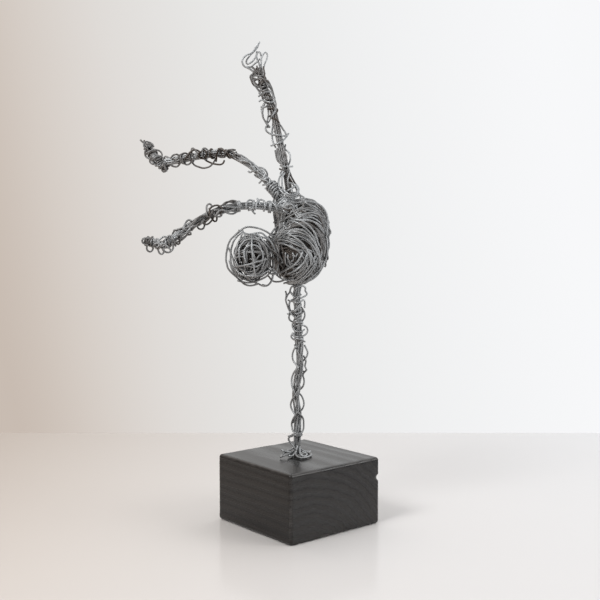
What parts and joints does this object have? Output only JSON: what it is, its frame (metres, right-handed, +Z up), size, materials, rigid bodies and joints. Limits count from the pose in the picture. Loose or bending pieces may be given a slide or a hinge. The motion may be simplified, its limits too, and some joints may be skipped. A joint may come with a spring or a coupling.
{
  "type": "wire acrobat sculpture",
  "caption": "Wound-wire figure of an acrobat in a one-hand balance, one arm up and both legs out to the side, on a square black wooden plinth.",
  "frame": {"origin": "centre of the plinth's underside", "axes": "+Z up; X and Y along the plinth's sides. The legs point to the side between -X and +Y, and the figure is seen best from between -X and -Y, 40 degrees round from -Y towards -X"},
  "size_m": [0.1629, 0.1546, 0.4015],
  "materials": {
    "plinth": "black stain under a semi-gloss varnish, fine open grain",
    "wire": "galvanised, dull grey with soft highlights"
  },
  "bodies": {
    "root": {"plinth": "plinth", "support_arm": "wire", "support_arm_wrap": "wire", "raised_arm": "wire", "raised_arm_wrap": "wire", "top_leg": "wire", "top_leg_wrap": "wire", "bottom_leg": "wire", "bottom_leg_wrap": "wire", "torso": "wire", "head": "wire"}
  },
  "joints": []
}
